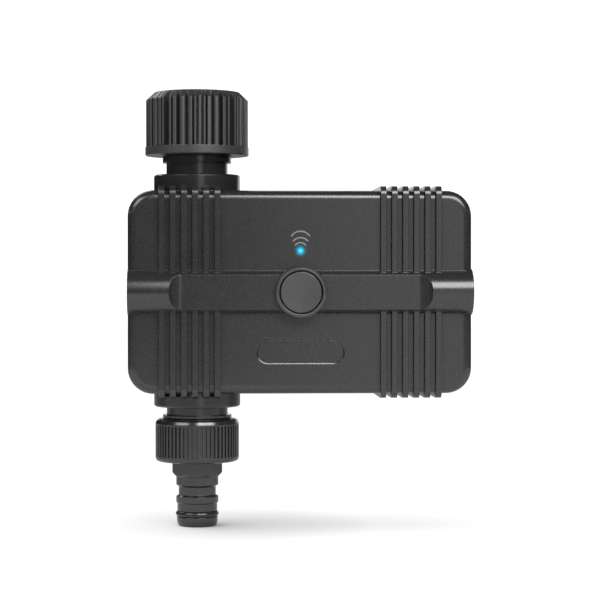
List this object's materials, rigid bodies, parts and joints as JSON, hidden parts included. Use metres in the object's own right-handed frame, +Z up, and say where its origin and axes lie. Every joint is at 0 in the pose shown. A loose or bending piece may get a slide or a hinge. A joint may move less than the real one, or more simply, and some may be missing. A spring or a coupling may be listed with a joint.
{
  "type": "smart water timer",
  "caption": "Battery-powered tap timer: a ribbed casing with a push button on a motorised ball valve, between a swivel tap nut and a quick-coupling nipple.",
  "frame": {"origin": "centre of the inlet nut's mouth, on the water pipe's axis", "axes": "+Z up along the pipe towards the tap, +X from the pipe to the battery side, the front faces -Y"},
  "size_m": [0.1343, 0.0539, 0.1727],
  "materials": {
    "casing_plastic": "fine matte",
    "column_plastic": "fine matte",
    "button_plastic": "satin",
    "signal_print": "printed",
    "light_lens": "lit clear",
    "soft_rubber": "matte",
    "seat_plastic": "smooth",
    "brass": "turned",
    "ball_chrome": "polished",
    "steel": "plated",
    "dark_steel": "black plated",
    "gear_plastic": "smooth",
    "gearbox_plastic": "fine matte",
    "board_green": "lacquered",
    "chip_black": "moulded",
    "connector_white": "moulded",
    "lead_red": "insulated",
    "cell_wrap": "shrink film",
    "magnet_grey": "sintered"
  },
  "bodies": {
    "casing": {"front_casing": "casing_plastic", "rear_casing": "casing_plastic", "casing_seal": "soft_rubber", "casing_screws": "dark_steel", "signal_mark": "signal_print", "light_guide": "light_lens", "badge_plate": "casing_plastic", "button_ring": "button_plastic", "button_seal": "soft_rubber", "circuit_board": "board_green", "board_screws": "steel", "status_led": "connector_white", "tact_switch": "chip_black", "radio_module": "steel", "controller_chip": "chip_black", "hall_sensors": "chip_black", "board_connectors": "connector_white", "storage_capacitor": "chip_black", "battery_leads": "lead_red", "motor_leads": "lead_red", "inlet_spigot": "column_plastic", "spigot_washer": "soft_rubber", "nut_clip": "column_plastic", "valve_body": "column_plastic", "upper_seat": "seat_plastic", "lower_seat": "seat_plastic", "outlet_spigot": "column_plastic", "collar_seals": "soft_rubber", "gear_axles": "steel", "gearbox_housing": "gearbox_plastic", "gearbox_cover": "gearbox_plastic", "gearbox_screws": "steel", "motor": "steel", "battery_tray": "gearbox_plastic", "battery_cells": "cell_wrap", "flat_contacts": "steel", "leaf_contacts": "steel"},
    "inlet_nut": {"inlet_nut": "column_plastic", "inlet_reducer": "column_plastic", "filter_washer": "soft_rubber", "inlet_filter": "steel"},
    "button": {"push_button": "button_plastic", "switch_plunger": "connector_white"},
    "valve": {"valve_ball": "ball_chrome", "valve_stem": "brass", "stem_seals": "soft_rubber", "output_gear": "gear_plastic", "position_magnet": "magnet_grey", "stem_screw": "steel"},
    "second_gear": {"second_gear": "gear_plastic"},
    "first_gear": {"first_gear": "gear_plastic"},
    "motor_pinion": {"motor_pinion": "brass"},
    "battery_cover": {"battery_cover": "casing_plastic", "cover_seal": "soft_rubber", "cover_screws": "dark_steel"},
    "outlet_washer": {"outlet_washer": "soft_rubber"},
    "outlet_adapter": {"outlet_adapter": "column_plastic", "nipple_seal": "soft_rubber"}
  },
  "joints": [
    {"name": "inlet_nut_swivel", "type": "hinge", "parent": "casing", "child": "inlet_nut", "pos_m": [0, 0, 0], "axis": [0, 0, 1], "continuous": true},
    {"name": "button_press", "type": "slide", "parent": "casing", "child": "button", "axis": [0, 1, 0], "range_m": [0, 0.0008], "stiffness_N_per_m": 2500, "springref_m": -0.0002},
    {"name": "valve_turn", "type": "hinge", "parent": "casing", "child": "valve", "pos_m": [0, 0, -0.07925], "axis": [1, 0, 0], "range_deg": [0, 90]},
    {"name": "second_gear_spin", "type": "hinge", "parent": "casing", "child": "second_gear", "pos_m": [0.03, 0, -0.09885], "axis": [1, 0, 0], "range_deg": [-271, 1]},
    {"name": "first_gear_spin", "type": "hinge", "parent": "casing", "child": "first_gear", "pos_m": [0.03, 0.008, -0.08329], "axis": [1, 0, 0], "range_deg": [-1, 1081]},
    {"name": "motor_spin", "type": "hinge", "parent": "casing", "child": "motor_pinion", "pos_m": [0.03, 0.008, -0.06929], "axis": [1, 0, 0], "range_deg": [-4321, 1]},
    {"name": "battery_cover_off", "type": "slide", "parent": "casing", "child": "battery_cover", "axis": [0, 1, 0], "range_m": [0, 0.03]},
    {"name": "adapter_travel", "type": "slide", "parent": "casing", "child": "outlet_washer", "axis": [0, 0, -1], "range_m": [-0.00001, 0.0109]},
    {"name": "adapter_turn", "type": "hinge", "parent": "outlet_washer", "child": "outlet_adapter", "pos_m": [0, 0, -0.14], "axis": [0, 0, -1], "range_deg": [0, 2160]}
  ],
  "couplings": [
    {"joint": "second_gear_spin", "follows": "valve_turn", "ratio": -3},
    {"joint": "first_gear_spin", "follows": "valve_turn", "ratio": 12},
    {"joint": "motor_spin", "follows": "valve_turn", "ratio": -48},
    {"joint": "adapter_travel", "follows": "adapter_turn", "m_per_rad": 0.00028871}
  ]
}
